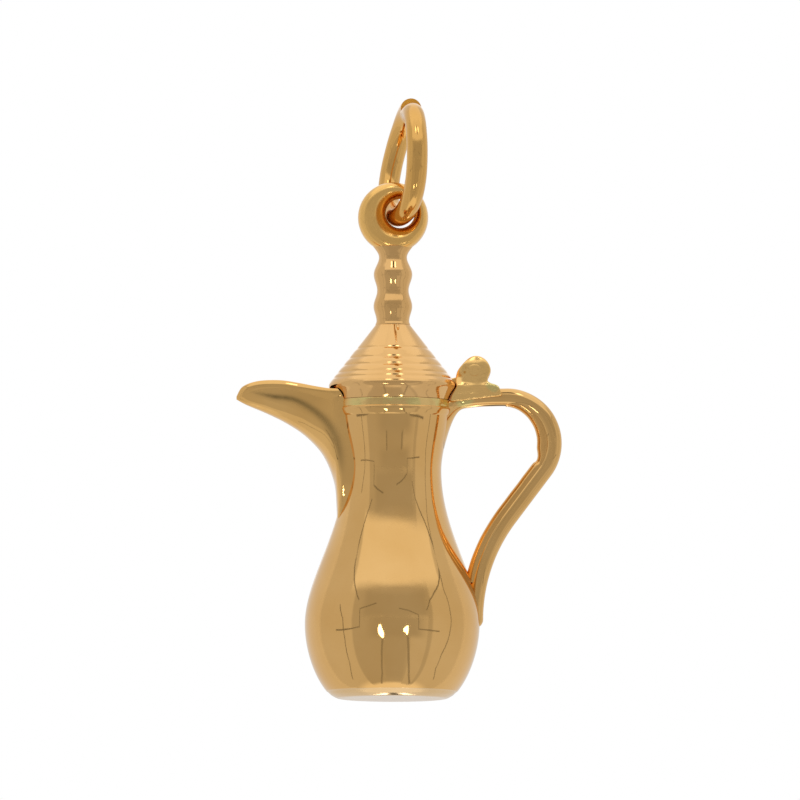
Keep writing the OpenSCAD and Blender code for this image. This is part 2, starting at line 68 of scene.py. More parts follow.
ROD_R, BULGE_R, ARM_LEAN, TAIL_R, ARM_BEND_R = 0.42, 2.19, 36.8, 8.1, 18.0
FOOT_Z, FOOT_X, RIB_R = 3.78, BELLY_R - 0.25, 0.35
UPPER_RIB_PROUD, LOWER_RIB_PROUD = 0.33, 0.21
SPOUT_REACH, TIP_RISE, HUMP, DROP = 7.42, 0.36, 1.08, 6.0
SPOUT_HALF_W, SPOUT_WALL, LIP_PROUD, LIP_H = 1.45, 0.28, 0.05, 0.4
POUR_HOLE_R, POUR_HOLE_Z = 0.6, NECK_TOP_Z - 1.1


# ---------------------------------------------------------------- curves
def bezier(p, t):
    k = ((1 - t) ** 3, 3 * t * (1 - t) ** 2, 3 * t * t * (1 - t), t ** 3)
    return tuple(sum(k[i] * p[i][c] for i in range(4)) for c in (0, 1))


def curve(p, steps, first=0):
    return [bezier(p, i / steps) for i in range(first, steps + 1)]


def knot(p, i):
    return p[max(0, min(len(p) - 1, i))]


def smooth_at(p, u):
    """A point of the smooth curve through a list of points, or a value through a list of values."""
    i = min(int(u), len(p) - 2)
    t = u - i
    if not isinstance(p[0], tuple):
        return smooth_at([(v, 0.0) for v in p], u)[0]
    a, b, c, d = (knot(p, i + k) for k in (-1, 0, 1, 2))
    return tuple(
        b[k] + t / 2 * ((c[k] - a[k]) + t * ((2 * a[k] - 5 * b[k] + 4 * c[k] - d[k])
                                              + t * (3 * b[k] - a[k] - 3 * c[k] + d[k])))
        for k in (0, 1))


def smooth_line(p, steps, first=0):
    """Points of the smooth curve through a list of points, with steps of them from one to the next."""
    return [smooth_at(p, i / steps) for i in range(first, steps * (len(p) - 1) + 1)]


def clamped(x):
    """x, held between 0 and 1."""
    return max(0.0, min(1.0, x))


def ease(a, b, t):
    return a + (b - a) * (1 - math.cos(math.pi * t)) / 2


def waves(p, steps):
    """A line that swings softly in and out through a list of points (radius, height)."""
    out = [p[0]]
    for (r0, z0), (r1, z1) in zip(p, p[1:]):
        out += [(ease(r0, r1, k / steps), z0 + (z1 - z0) * k / steps) for k in range(1, steps + 1)]
    return out


def rounded(points, radius, steps=4):
    """Rounds each corner of a closed outline."""
    out = []
    for i, p in enumerate(points):
        corner = Vector(p)
        a, b = Vector(points[i - 1]) - corner, Vector(points[(i + 1) % len(points)]) - corner
        r = min(radius, 0.45 * a.length, 0.45 * b.length)
        start, end = corner + a.normalized() * r, corner + b.normalized() * r
        for k in range(steps + 1):
            t = k / steps
            out.append(tuple((1 - t) ** 2 * start + 2 * t * (1 - t) * corner + t * t * end))
    return out


def cos_sin(degrees):
    return math.cos(math.radians(degrees)), math.sin(math.radians(degrees))


def circle(at, r, sides):
    return [(at[0] + r * math.cos(2 * math.pi * i / sides), at[1] + r * math.sin(2 * math.pi * i / sides))
            for i in range(sides)]


def arc(at, r, degrees):
    return [(at[0] + r * c, at[1] + r * s) for c, s in map(cos_sin, degrees)]


def wobble(x, y, z, size, seed):
    """Smooth noise from about -1 to 1, with lumps of that size in millimetres."""
    return noise.noise(Vector((x / size + seed, y / size, z / size)))


# ---------------------------------------------------------------- meshes
def add_object(name, data):
    added = bpy.data.objects.new(name, data)
    bpy.context.scene.collection.objects.link(added)
    return added


def raw_mesh(name, points, faces):
    mesh = bpy.data.meshes.new(name)
    mesh.from_pydata(points, [], faces)
    return mesh


def make_mesh(name, points, faces):
    """A piece from points in millimetres, without double points and with its faces turned outwards."""
    mesh = raw_mesh(name, [(x * MM, y * MM, z * MM) for x, y, z in points], faces)
    bm = bmesh.new()
    bm.from_mesh(mesh)
    bmesh.ops.remove_doubles(bm, verts=bm.verts, dist=1e-8)
    bmesh.ops.dissolve_degenerate(bm, edges=bm.edges, dist=1e-8)
    bmesh.ops.recalc_face_normals(bm, faces=bm.faces)
    bm.to_mesh(mesh)
    bm.free()
    return add_object(name, mesh)


def smooth(piece, crease):
    """Shades a piece smooth, except over its creases."""
    bm = bmesh.new()
    bm.from_mesh(piece.data)
    for f in bm.faces:
        f.smooth = True
    for e in bm.edges:
        e.smooth = len(e.link_faces) == 2 and e.calc_face_angle(0) < math.radians(crease)
    bm.to_mesh(piece.data)
    bm.free()


def grid_faces(rows, columns, close_rows=False, close_columns=True):
    """Quads over a grid of rows times columns points."""
    out = []
    for j in range(rows if close_rows else rows - 1):
        for i in range(columns if close_columns else columns - 1):
            a, b = j * columns + i, j * columns + (i + 1) % columns
            k = ((j + 1) % rows) * columns
            out.append((a, b, k + (i + 1) % columns, k + i))
    return out


def lathe(name, profile, sides, shape=None):
    """Turns a closed outline (radius, height) about the Z axis. shape moves each point of the surface."""
    points = [(x, y, z) for r, z in profile for x, y in circle((0, 0), r, sides)]
    if shape:
        points = [shape(*p) for p in points]
    return make_mesh(name, points, grid_faces(len(profile), sides, close_rows=True))


def radial_wobble(amount, size, seed, inside_r):
    """A shape for lathe(): outside inside_r the surface swells and sinks, as hand polishing leaves it."""
    def shape(x, y, z):
        r = math.hypot(x, y)
        if r <= inside_r or r < 1e-6:
            return (x, y, z)
        k = 1 + amount * wobble(x, y, z, size, seed) / r
        return (x * k, y * k, z)
    return shape


def skin(name, rings):
    """A closed skin over rings that all have the same number of points, with flat ends."""
    n = len(rings[0])
    faces = grid_faces(len(rings), n)
    faces.append(tuple(range(n)))
    faces.append(tuple((len(rings) - 1) * n + i for i in reversed(range(n))))
    return make_mesh(name, [p for ring in rings for p in ring], faces)


def cut(piece, cutter):
    """Cuts one mesh out of another, and deletes the cutter."""
    mod = piece.modifiers.new("cut", "BOOLEAN")
    mod.operation, mod.solver, mod.object = "DIFFERENCE", "EXACT", cutter
    apply_modifiers(piece)
    bpy.data.objects.remove(cutter)


def apply_modifiers(piece):
    bpy.context.view_layer.update()
    done = bpy.data.meshes.new_from_object(piece.evaluated_get(bpy.context.evaluated_depsgraph_get()))
    piece.modifiers.clear()
    piece.data = done


def cylinder_y(name, at, r, length, sides=64):
    return skin(name, [[(x, y, z) for x, z in circle(at, r, sides)] for y in (-length / 2, length / 2)])


# ---------------------------------------------------------------- materials
class Shading:
    """The node tree of a material or of the world, with a short call for each kind of node."""

    def __init__(self, owner):
        owner.use_nodes = True
        self.owner, self.nodes, self.links = owner, owner.node_tree.nodes, owner.node_tree.links

    def new(self, kind):
        return self.nodes.new("ShaderNode" + kind)

    def link(self, source, target):
        self.links.new(source, target)

    def math(self, operation, *values):
        """A Math node. Each value is a number or another node's output."""
        node = self.new("Math")
        node.operation = operation
        for socket, value in zip(node.inputs, values):
            if isinstance(value, (int, float)):
                socket.default_value = value
            else:
                self.link(value, socket)
        return node.outputs[0]

    def noise(self, coord, scale, detail, stretch=(1, 1, 1)):
        """Noise with about scale lumps to a millimetre."""
        mapping = self.new("Mapping")
        mapping.inputs["Scale"].default_value = stretch
        self.link(coord, mapping.inputs["Vector"])
        tex = self.new("TexNoise")
        tex.inputs["Scale"].default_value = scale / MM
        tex.inputs["Detail"].default_value = detail
        self.link(mapping.outputs["Vector"], tex.inputs["Vector"])
        return tex.outputs["Fac"]

    def ramp(self, fac, low, high):
        """A colour that goes from one stop to another: each is a value of fac and a colour."""
        node = self.new("ValToRGB")
        for element, (at, colour) in zip(node.color_ramp.elements, (low, high)):
            element.position = at
            element.color = (*colour, 1.0)
        self.link(fac, node.inputs["Fac"])
        return node.outputs["Color"]

    def soft_step(self, value, start, end):
        """Goes smoothly from 0 to 1 as value goes from start to end."""
        node = self.new("MapRange")
        node.interpolation_type = "SMOOTHSTEP"
        node.inputs["From Min"].default_value = start
        node.inputs["From Max"].default_value = end
        self.link(value, node.inputs["Value"])
        return node.outputs[0]

    def spot(self, coord, at, radius):
        """1 within a ragged spot round a point in millimetres, 0 outside it."""
        apart = self.new("VectorMath")
        apart.operation = "DISTANCE"
        apart.inputs[1].default_value = [c * MM for c in at]
        self.link(coord, apart.inputs[0])
        ragged = self.math("MULTIPLY", self.noise(coord, 2.2, 4.0), 1.2 * radius * MM)
        off = self.math("ADD", apart.outputs["Value"], ragged)
        return self.soft_step(off, 1.75 * radius * MM, 1.25 * radius * MM)

    def mixed(self, fac, base, colour):
        """base, with colour over it where fac is 1."""
        mix = self.new("MixRGB")
        mix.inputs["Color2"].default_value = (*colour, 1.0)
        self.link(fac, mix.inputs["Fac"])
        self.link(base, mix.inputs["Color1"])
        return mix.outputs["Color"]


# The colour of the painted shade in crevices, and how near, in millimetres, other surfaces come for it.
PAINTED_CREVICE_SHADE, CREVICE_SHADE_REACH, SCRATCH_DEPTH = (0.78, 0.40, 0.10), 0.35, 0.0002
BLACK, WHITE = (0, 0, 0), (1, 1, 1)


def gold(name, colour, rough, rough_spread, dent=0.004, crevice_shade=0.8, patch=None, spots=(), painted_fold_shade=None):
    """Polished yellow gold: cloudy colour, uneven polish, fine scratches, and painted shade, a deeper
    colour, in the crevices.
    dent is the height of its unevenness in millimetres, crevice_shade the strength of the painted shade in
    the crevices, patch a second colour in blotches, and each spot a place, a radius and a colour.
    painted_fold_shade is the colour of a painted shade, as strong as the mesh's own painted_fold_shade
    values say."""
    tree = Shading(bpy.data.materials.new(name))
    shader = tree.nodes["Principled BSDF"]
    coord = tree.new("TexCoord").outputs["Object"]
    shader.inputs["Metallic"].default_value = 1.0

    pale = tuple(min(1.0, c * 1.05) for c in colour)
    warm = (colour[0] * 0.97, colour[1] * 0.93, colour[2] * 0.84)
    base = tree.ramp(tree.noise(coord, 0.35, 4.0), (0.3, warm), (0.7, pale))
    if patch:
        blotches = tree.ramp(tree.noise(coord, 1.1, 2.0), (0.5, BLACK), (0.62, WHITE))
        base = tree.mixed(blotches, base, patch)
    for at, radius, tint in spots:
        base = tree.mixed(tree.spot(coord, at, radius), base, tint)
    # Painted shade along a fold: a darker colour, as strong as the mesh's attribute says.
    if painted_fold_shade:
        amount = tree.new("Attribute")
        amount.attribute_name = "painted_fold_shade"
        base = tree.mixed(amount.outputs["Fac"], base, painted_fold_shade)
    # Painted shade: the colour deepens towards a darker orange gold where other surfaces come near, in the
    # crevices.
    hollow = tree.new("AmbientOcclusion")
    hollow.samples = 8
    hollow.inputs["Distance"].default_value = CREVICE_SHADE_REACH * MM
    shade = tree.ramp(hollow.outputs["AO"], (0.3, (crevice_shade,) * 3), (0.75, BLACK))
    tree.link(tree.mixed(shade, base, PAINTED_CREVICE_SHADE), shader.inputs["Base Color"])

    uneven = tree.math("MULTIPLY", tree.noise(coord, 0.8, 3.0), rough_spread)
    tree.link(tree.math("ADD", uneven, rough), shader.inputs["Roughness"])

    dents = tree.math("MULTIPLY", tree.noise(coord, 0.9, 2.0), dent)
    scratches = tree.math("MULTIPLY", tree.noise(coord, 9.0, 2.0, (1, 1, 0.12)), SCRATCH_DEPTH)
    bump = tree.new("Bump")
    bump.inputs["Strength"].default_value = 1.0
    bump.inputs["Distance"].default_value = MM
    tree.link(tree.math("ADD", dents, scratches), bump.inputs["Height"])
    tree.link(bump.outputs["Normal"], shader.inputs["Normal"])
    return tree.owner


# SOLDER_PALE is the pale colour of solder. The orange is painted shade in spots: in the crevice by the
# handle's root, in the hinge's crevices, and in the loop's hole where the ring lies.
SOLDER_PALE, ORANGE_CREVICE_SHADE = (0.78, 0.62, 0.24), (0.78, 0.34, 0.05)
MATERIALS = {
    "gold": gold("polished_gold", (0.805, 0.49, 0.185), 0.03, 0.04,
                 spots=[((3.4, -0.5, 14.2), 0.45, SOLDER_PALE), ((2.9, -0.6, 14.25), 0.22, ORANGE_CREVICE_SHADE)]),
    "lid_gold": gold("lid_gold", (0.82, 0.50, 0.205), 0.06, 0.06, crevice_shade=0.25),
    "seam_gold": gold("seam_gold", (0.80, 0.55, 0.22), 0.13, 0.12, patch=SOLDER_PALE, dent=0.02),
    "rib_gold": gold("rib_gold", (0.80, 0.46, 0.16), 0.08, 0.08, dent=0.012),
    "hinge_gold": gold("hinge_gold", (0.95, 0.60, 0.22), 0.15, 0.10, dent=0.035,
                       spots=[((4.8, -0.6, 14.9), 0.35, SOLDER_PALE), ((3.46, -0.6, 15.75), 0.11, ORANGE_CREVICE_SHADE),
                              ((3.4, -0.6, 15.52), 0.1, ORANGE_CREVICE_SHADE)]),
    "ring_gold": gold("ring_gold", (0.80, 0.46, 0.14), 0.07, 0.08, dent=0.01),
}
FOOT_GOLD = gold("foot_gold", (0.80, 0.56, 0.30), 0.10, 0.10, dent=0.01, crevice_shade=0.0)
CUT_GOLD = gold("cut_gold", (0.88, 0.48, 0.08), 0.42, 0.3, dent=0.06, crevice_shade=0.2)
SPOUT_GOLD = gold("spout_gold", (0.86, 0.52, 0.185), 0.03, 0.04, painted_fold_shade=(0.25, 0.165, 0.06))
# The loop's two orange spots are painted shade at the rim of its hole, where the ring lies.
LOOP_GOLD = gold("loop_gold", (0.93, 0.56, 0.18), 0.13, 0.10, dent=0.012,
                 spots=[((0.2, -0.35, 23.6), 0.42, ORANGE_CREVICE_SHADE), ((0.9, -0.35, 22.9), 0.3, ORANGE_CREVICE_SHADE)])


def finish_piece(piece, body, node, slot, crease=50, material=None):
    """Shades a piece, gives it its material, hangs it on its body and hides the CAD node that it replaces.
    """
    smooth(piece, crease)
    piece.data.materials.clear()
    piece.data.materials.append(material or MATERIALS[slot])
    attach(piece, body)
    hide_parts(node)


def second_material(piece, material, chosen):
    """Gives a second material to the faces whose middle, in millimetres, is chosen."""
    piece.data.materials.append(material)
    for face in piece.data.polygons:
        if chosen(*(c / MM for c in face.center)):
            face.material_index = 1


# ---------------------------------------------------------------- the pot
SIDE_H, THROAT_H = NECK_Z - BELLY_Z, NECK_TOP_Z - NECK_Z
FOOT_CURVE = [(BASE_R, 0), ((BASE_R + BELLY_R) / 2, 0.13 * BELLY_Z), (BELLY_R, 0.56 * BELLY_Z),
              (BELLY_R, BELLY_Z)]
SIDE_CURVE = [(BELLY_R, BELLY_Z), (BELLY_R, BELLY_Z + 0.3 * SIDE_H), (NECK_R, NECK_Z - 0.41 * SIDE_H),
              (NECK_R, NECK_Z)]
THROAT_CURVE = [(NECK_R, NECK_Z), (NECK_R, NECK_Z + 0.27 * THROAT_H),
                (MOUTH_R - 0.13 * (MOUTH_R - NECK_R), NECK_TOP_Z - 0.45 * THROAT_H), (MOUTH_R, NECK_TOP_Z)]
POT_PROFILE = curve(FOOT_CURVE, 40) + curve(SIDE_CURVE, 64, 1) + curve(THROAT_CURVE, 30, 1)


def profile_r(profile, z):
    for (r0, z0), (r1, z1) in zip(profile, profile[1:]):
        if z0 <= z <= z1:
            return r0 + (r1 - r0) * (z - z0) / (z1 - z0)
    return profile[-1][0] if z > profile[-1][1] else profile[0][0]


PLATE_EDGE_R = profile_r(POT_PROFILE, BASE_T)
pot_shape = radial_wobble(amount=0.012, size=3.0, seed=0.0, inside_r=2.0)

shell = [(PLATE_EDGE_R, BASE_T)] + [p for p in POT_PROFILE if p[1] > BASE_T + 0.01]
inner = [(r - WALL, z) for r, z in reversed(shell)]
pot = lathe("pot_body_gold", shell + inner[::2] + [inner[-1]], 256, shape=pot_shape)
# The hole through the neck into the spout.
hole = skin("hole", [[(x, y, z) for y, z in circle((0, POUR_HOLE_Z), POUR_HOLE_R, 48)]
                     for x in (-MOUTH_R - 0.4, -MOUTH_R + 0.9)])
cut(pot, hole)
finish_piece(pot, "pot", "pot_body", "gold")

# The underside is flat in the middle and turns up round its edge.
FOOT_EDGE = [(2.2, 0.0), (2.45, 0.003), (2.62, 0.03), (2.74, 0.085), (2.84, 0.14), (2.91, 0.19),
             (2.96, 0.235), (3.01, 0.285), (3.06, 0.325)]
plate_profile = [(0.01, 0.0), (1.0, 0.0), *smooth_line(FOOT_EDGE, 4), (PLATE_EDGE_R, BASE_T), (0.01, BASE_T)]
plate = lathe("base_plate_gold", plate_profile, 256, shape=pot_shape)
finish_piece(plate, "pot", "base_plate", "gold", crease=30, material=FOOT_GOLD)

# The collar: the neck's rounded top edge, and above it a strip of paler solder up to the lid.
STRIP_Z, STRIP_TOP_Z = 13.82, 14.19
COLLAR_EDGE = [(-0.06, -0.44), (0.0, -0.36), (0.035, -0.27), (0.06, -0.19), (0.07, -0.12), (0.066, -0.06),
               (0.05, -0.02), (0.028, 0.0), (0.022, 0.03), (0.03, 0.16), (0.022, 0.28), (0.014, 0.34),
               (0.0, 0.365)]
collar_edge = [COLLAR_EDGE[0], *smooth_line(COLLAR_EDGE, 5, 5)]
collar_profile = [(MOUTH_R - WALL, NECK_TOP_Z), *((MOUTH_R + r, STRIP_Z + z) for r, z in collar_edge),
                  (MOUTH_R - WALL, STRIP_TOP_Z)]
collar_shape = radial_wobble(amount=0.01, size=1.2, seed=5.0, inside_r=MOUTH_R)
collar = lathe("mouth_collar_gold", collar_profile, 256, shape=collar_shape)
finish_piece(collar, "pot", "mouth_collar", "seam_gold")
second_material(collar, MATERIALS["gold"], lambda x, y, z: z < STRIP_Z)

# ---------------------------------------------------------------- the spout
ROOT_X, SPOUT_L = -NECK_R, SPOUT_REACH - NECK_R
TIP = (-SPOUT_REACH, NECK_TOP_Z + TIP_RISE)


def over(along, share):
    """A place above the neck's top: along is a share of the spout's length, share one of its hump."""
    return (ROOT_X - SPOUT_L * along, NECK_TOP_Z + share * HUMP)


def under(along, share):
    """A place below the neck's top: share is one of the spout's drop."""
    return (ROOT_X - SPOUT_L * along, NECK_TOP_Z - share * DROP)


TOP_EDGE = [TIP, over(0.94, 0.74), over(0.8, 0.97), over(0.6, 1), over(0.43, 0.88), over(0.27, 0.72),
            over(0.13, 0.6), over(0.03, 0.6), over(-0.08, 0.6)]
KEEL = [(TIP[0], TIP[1] - SPOUT_WALL / 2), under(0.905, 0.007), under(0.72, 0.073), under(0.53, 0.153),
        under(0.35, 0.257), under(0.19, 0.408), under(0.09, 0.617), under(0.066, 0.817), under(0.06, 1)]
WIDTH_SHARE = [0.06, 0.25, 0.42, 0.56, 0.69, 0.82, 0.94, 1.0, 1.0]
SPOUT_SIDES, SPOUT_STEPS, SPOUT_RINGS = 72, 12, 90
# The share of the depth where the beak is widest, and how much its walls lean in above it. The lean fades
# over the last LEAN_FADE points of the top edge up to LEAN_END.
WIDEST, LEAN_IN, LEAN_FADE, LEAN_END = 0.50, 0.16, 2.2, 6.2
# The beak's walls end that deep in the neck, and that far short of the lid's band, which leans out.
SINK, LID_CLEAR, BAND_LEAN = 0.16, 0.025, 0.52
LEAST, LIP_FULL_W, RIM_LIFT = 0.02, 0.5, 0.3


def beak_width(share, lean):
    """The share of the half width at a share of the depth: it leans in above WIDEST, and closes below."""
    if share < WIDEST:
        return 1 - lean * (1 - share / WIDEST) ** 2
    return math.sqrt(max(0.0, 1 - ((share - WIDEST) / (1 - WIDEST)) ** 2))


def beak_arc(u, inset, lip):
    """A line across the beak from its far rim to its near one, hung from the top edge at u. It runs inset
    inside the outer face, and its lip stands out by the size given."""
    top, low = smooth_at(TOP_EDGE, u), smooth_at(KEEL, u)
    depth = math.dist(top, low)
    down = ((low[0] - top[0]) / depth, (low[1] - top[1]) / depth)
    half_w = SPOUT_HALF_W * smooth_at(WIDTH_SHARE, u)
    in_depth, in_w = max(depth - inset, LEAST), max(half_w - inset, LEAST)
    lip *= min(1.0, half_w / LIP_FULL_W)
    lean = LEAN_IN * clamped((LEAN_END - u) / LEAN_FADE)
    line = []
    for k in range(SPOUT_SIDES + 1):
        a = math.pi * k / SPOUT_SIDES
        share = 1 - abs(math.cos(a))
        side = (k < SPOUT_SIDES / 2) - (k > SPOUT_SIDES / 2)
        along = share * in_depth
        roll = lip * math.sin(math.pi * min(1.0, along / LIP_H))
        y = side * (in_w * beak_width(share, lean) + roll)
        line.append((top[0] + down[0] * along, y, top[1] + down[1] * along))
    return line


def rim_round(outer, inner_pt, up, steps=5):
    """Points of the rounded rim between the outer and the inner face."""
    mid = (Vector(outer) + Vector(inner_pt)) / 2
    half = (Vector(outer) - Vector(inner_pt)) / 2
    rise = Vector(up) * half.length * RIM_LIFT
    return [tuple(mid + half * math.cos(math.pi * k / steps) + rise * math.sin(math.pi * k / steps))
            for k in range(1, steps)]


def beak_ring(u):
    """A closed line round the beak's wall: outside, over the near rim, inside and over the far rim."""
    outer, inner_arc = beak_arc(u, 0.0, LIP_PROUD), beak_arc(u, SPOUT_WALL, 0.0)
    top, low = smooth_at(TOP_EDGE, u), smooth_at(KEEL, u)
    depth = math.dist(top, low)
    up = ((top[0] - low[0]) / depth, 0.0, (top[1] - low[1]) / depth)
    near = rim_round(outer[-1], inner_arc[-1], up)
    far = rim_round(inner_arc[0], outer[0], up)
    return outer + near + list(reversed(inner_arc)) + far


def end_r(z):
    """The radius where the beak's wall ends: in the neck, and above it just short of the lid's band."""
    if z > STRIP_TOP_Z:
        return LID_SEAT_R - LID_CLEAR + BAND_LEAN * (z - STRIP_TOP_Z)
    return profile_r(POT_PROFILE, min(z, NECK_TOP_Z)) - SINK


def past_end(p):
    """How far a point lies past the place where the wall ends."""
    return end_r(p[2]) - math.hypot(p[0], p[1])


def sunk(p):
    """The point straight towards the handle from p where the wall ends."""
    r = end_r(p[2])
    return (-math.sqrt(max(0.0, r * r - p[1] * p[1])), p[1], p[2])


def between(a, b, t):
    return tuple(p + (q - p) * t for p, q in zip(a, b))


def trimmed(lines, count):
    """Ends each line where the wall ends, and spaces count points evenly along it."""
    out = []
    for line in lines:
        kept = [line[0]]
        for a, b in zip(line, line[1:]):
            da, db = past_end(a), past_end(b)
            if da < 0 <= db:
                kept.append(between(a, b, da / (da - db)))
                break
            kept.append(b)
        if past_end(kept[-1]) < 0:
            kept.append(sunk(kept[-1]))
        at = [0.0]
        for a, b in zip(kept, kept[1:]):
            at.append(at[-1] + math.dist(a, b))
        spaced, j = [], 0
        for i in range(count):
            want = at[-1] * i / (count - 1)
            while j < len(at) - 2 and at[j + 1] < want:
                j += 1
            t = (want - at[j]) / max(at[j + 1] - at[j], 1e-9)
            spaced.append(between(kept[j], kept[j + 1], t))
        out.append(spaced)
    return out


spout_rings = [beak_ring(j / SPOUT_STEPS) for j in range((len(TOP_EDGE) - 1) * SPOUT_STEPS + 1)]
spout_lines = trimmed([list(line) for line in zip(*spout_rings)], SPOUT_RINGS)
spout_points = [line[j] for j in range(SPOUT_RINGS) for line in spout_lines]
# The end at the pot is closed by a strip between the outer and the inner face, so the beak stays open.
n_ring, n_arc = len(spout_lines), SPOUT_SIDES + 1
n_rim = (n_ring - 2 * n_arc) // 2
last = (SPOUT_RINGS - 1) * n_ring
inner_end = last + 2 * n_arc + n_rim - 1
spout_faces = grid_faces(SPOUT_RINGS, n_ring) + [tuple(range(n_ring))]
spout_faces += [(last + i, last + i + 1, inner_end - i - 1, inner_end - i) for i in range(SPOUT_SIDES)]
spout_faces.append(tuple(last + n_arc - 1 + i for i in range(n_rim + 2)))
spout_faces.append((*(inner_end + i for i in range(n_rim + 1)), last))
spout = make_mesh("spout_gold", spout_points, spout_faces)
finish_piece(spout, "pot", "spout", "gold", crease=60, material=SPOUT_GOLD)

# Painted shade along the fold under the lip, in place of a dark reflection: narrow at the tip, wide and
# weaker at the root.
FOLD = [(-6.72, 14.56), (-5.67, 14.33), (-4.64, 14.15), (-3.6, 13.54), (-2.88, 12.71), (-2.53, 11.62),
        (-2.36, 10.5)]
FOLD_HALF_W = [0.07, 0.11, 0.13, 0.17, 0.21, 0.22, 0.16]
FOLD_SHADE_STRENGTH = [0.1, 0.85, 0.8, 0.7, 0.6, 0.45, 0.0]
fold_line = [(*at, half_w, most) for at, half_w, most in zip(
    smooth_line(FOLD, 12), smooth_line(FOLD_HALF_W, 12), smooth_line(FOLD_SHADE_STRENGTH, 12))]
painted_fold_shade = spout.data.attributes.new("painted_fold_shade", "FLOAT", "POINT")
for v in spout.data.vertices:
    x, _, z = (c / MM for c in v.co)
    painted_fold_shade.data[v.index].value = max(most * math.exp(-((x - fx) ** 2 + (z - fz) ** 2) / half_w ** 2)
                                   for fx, fz, half_w, most in fold_line)

# ---------------------------------------------------------------- the handle
HANDLE_Z = SEAM_Z - 0.02
LEAN = math.radians(ARM_LEAN)
TURN = math.pi / 2 + LEAN
LOWER_L = (HANDLE_Z - FOOT_Z - BULGE_R * (1 - math.cos(TURN)) - TAIL_R * math.sin(LEAN)) / math.cos(LEAN)
HANDLE_X = FOOT_X - BULGE_R * math.sin(TURN) + LOWER_L * math.sin(LEAN) + TAIL_R * (1 - math.cos(LEAN))
BULGE_AT = (HANDLE_X, HANDLE_Z - BULGE_R)
BULGE_END = (BULGE_AT[0] + BULGE_R * math.cos(LEAN), BULGE_AT[1] - BULGE_R * math.sin(LEAN))
TAIL_AT = (FOOT_X + TAIL_R, FOOT_Z)
# The root's fillet at the neck: deeper than the CAD's, as the solder there fills it.
ROOT_START_X, ROOT_REACH, ROOT_DROP = 2.44, 1.01, 1.8
ROOT_END_X = ROOT_START_X + ROOT_REACH
KINK_ANGLE = -30


def arc_spots(at, bend, start, end, steps, turn, first=0):
    """Places on an arc: each is a centre and a heading, in degrees from +X to +Z."""
    angles = [start + (end - start) * i / steps for i in range(first, steps + 1)]
    return [(p, a + 90 * turn) for p, a in zip(arc(at, bend, angles), angles)]


def line_spots(start, heading, length, steps):
    """Places on a straight line, after its start."""
    c, s = cos_sin(heading)
    return [((start[0] + length * i / steps * c, start[1] + length * i / steps * s), heading)
            for i in range(1, steps + 1)]


def lower_spots(tail_angle, first=0):
    """Places down the handle from the kink to the tail."""
    return (arc_spots(BULGE_AT, BULGE_R, KINK_ANGLE, -ARM_LEAN, 8, -1, first)
            + line_spots(BULGE_END, -90 - ARM_LEAN, LOWER_L, 24)
            + arc_spots(TAIL_AT, TAIL_R, 180 - ARM_LEAN, tail_angle, 40, 1, 1))


def arm_z(x):
    return HANDLE_Z - ARM_BEND_R + math.sqrt(ARM_BEND_R ** 2 - (HANDLE_X - x) ** 2)


def arm_heading(x):
    return math.degrees(math.asin((HANDLE_X - x) / ARM_BEND_R))


def root_growth(x):
    """How far the fillet reaches down at x."""
    return ROOT_DROP * clamped((ROOT_END_X - x) / ROOT_REACH) ** 2.6


def placed(spot, section):
    """Sets a section, given as points across and along Y, square across the handle's line at a place."""
    (x, z), heading = spot
    c, s = cos_sin(heading)
    return [(x + p[0] * s, p[1], z - p[0] * c) for p in section]


ROD_SIDES = 40


def oval(rx, ry):
    return [(rx * x, ry * y) for x, y in circle((0, 0), 1, ROD_SIDES)]


ARM_START_X, ARM_STEPS, ROOT_SPREAD = MOUTH_R - 0.28, 60, 0.45
rod_rings = []
for i in range(ARM_STEPS):
    x = ARM_START_X + (HANDLE_X - ARM_START_X) * (i / ARM_STEPS) ** 1.4
    grown = root_growth(max(x, ROOT_START_X)) / 2
    upright = clamped((x - ROOT_START_X) / ROOT_REACH)
    spot = ((x, arm_z(x) - grown), arm_heading(x) * upright)
    rod_rings.append(placed(spot, oval(ROD_R + grown, ROD_R + ROOT_SPREAD * grown)))
course = arc_spots(BULGE_AT, BULGE_R, 90, KINK_ANGLE, 60, -1) + lower_spots(180, 1)
rod_rings += [placed(spot, oval(ROD_R, ROD_R)) for spot in course]
# The rod ends in a round tip.
(tail_x, tail_z), tail_heading = course[-1]
for a in range(10, 90, 10):
    c, s = cos_sin(a)
    rod_rings.append(placed(((tail_x, tail_z - ROD_R * s), tail_heading), oval(ROD_R * c, ROD_R * c)))


def lid_room(p):
    """Keeps the rod's root below the lid's rim, and lower still below its seat."""
    x, y, z = p
    r = math.hypot(x, y)
    rim_room, seat_room, fade = LID_RIM_R + 0.1, LID_SEAT_R + 0.06, 0.05
    if z > SEAM_Z and r < rim_room:
        z += (SEAM_Z - z) * min(1.0, (rim_room - r) / fade)
    if z > STRIP_TOP_Z and r < seat_room:
        z = STRIP_TOP_Z
    return (x, y, z)


ROD_UNEVEN, ROOT_UNEVEN = 0.008, 0.03
LUMPS_X, LUMPS_REACH, LUMPS_LOW_Z = 3.4, 1.6, 12


def rod_lumps(p):
    """Solder lumps at the root and a little unevenness along the rod."""
    x, y, z = p
    near_root = max(0.0, 1 - abs(x - LUMPS_X) / LUMPS_REACH) if z > LUMPS_LOW_Z else 0.0
    k = (ROD_UNEVEN + ROOT_UNEVEN * near_root) * wobble(x, y, z, 0.8, 3.0)
    return (x + k * 0.3, y * (1 + k), z + k)


rod = skin("handle_rod_gold", [[lid_room(rod_lumps(p)) for p in ring] for ring in rod_rings])
finish_piece(rod, "pot", "handle_rod", "gold", crease=60)

RIB_SIDES, RIB_UNEVEN = 20, 0.012


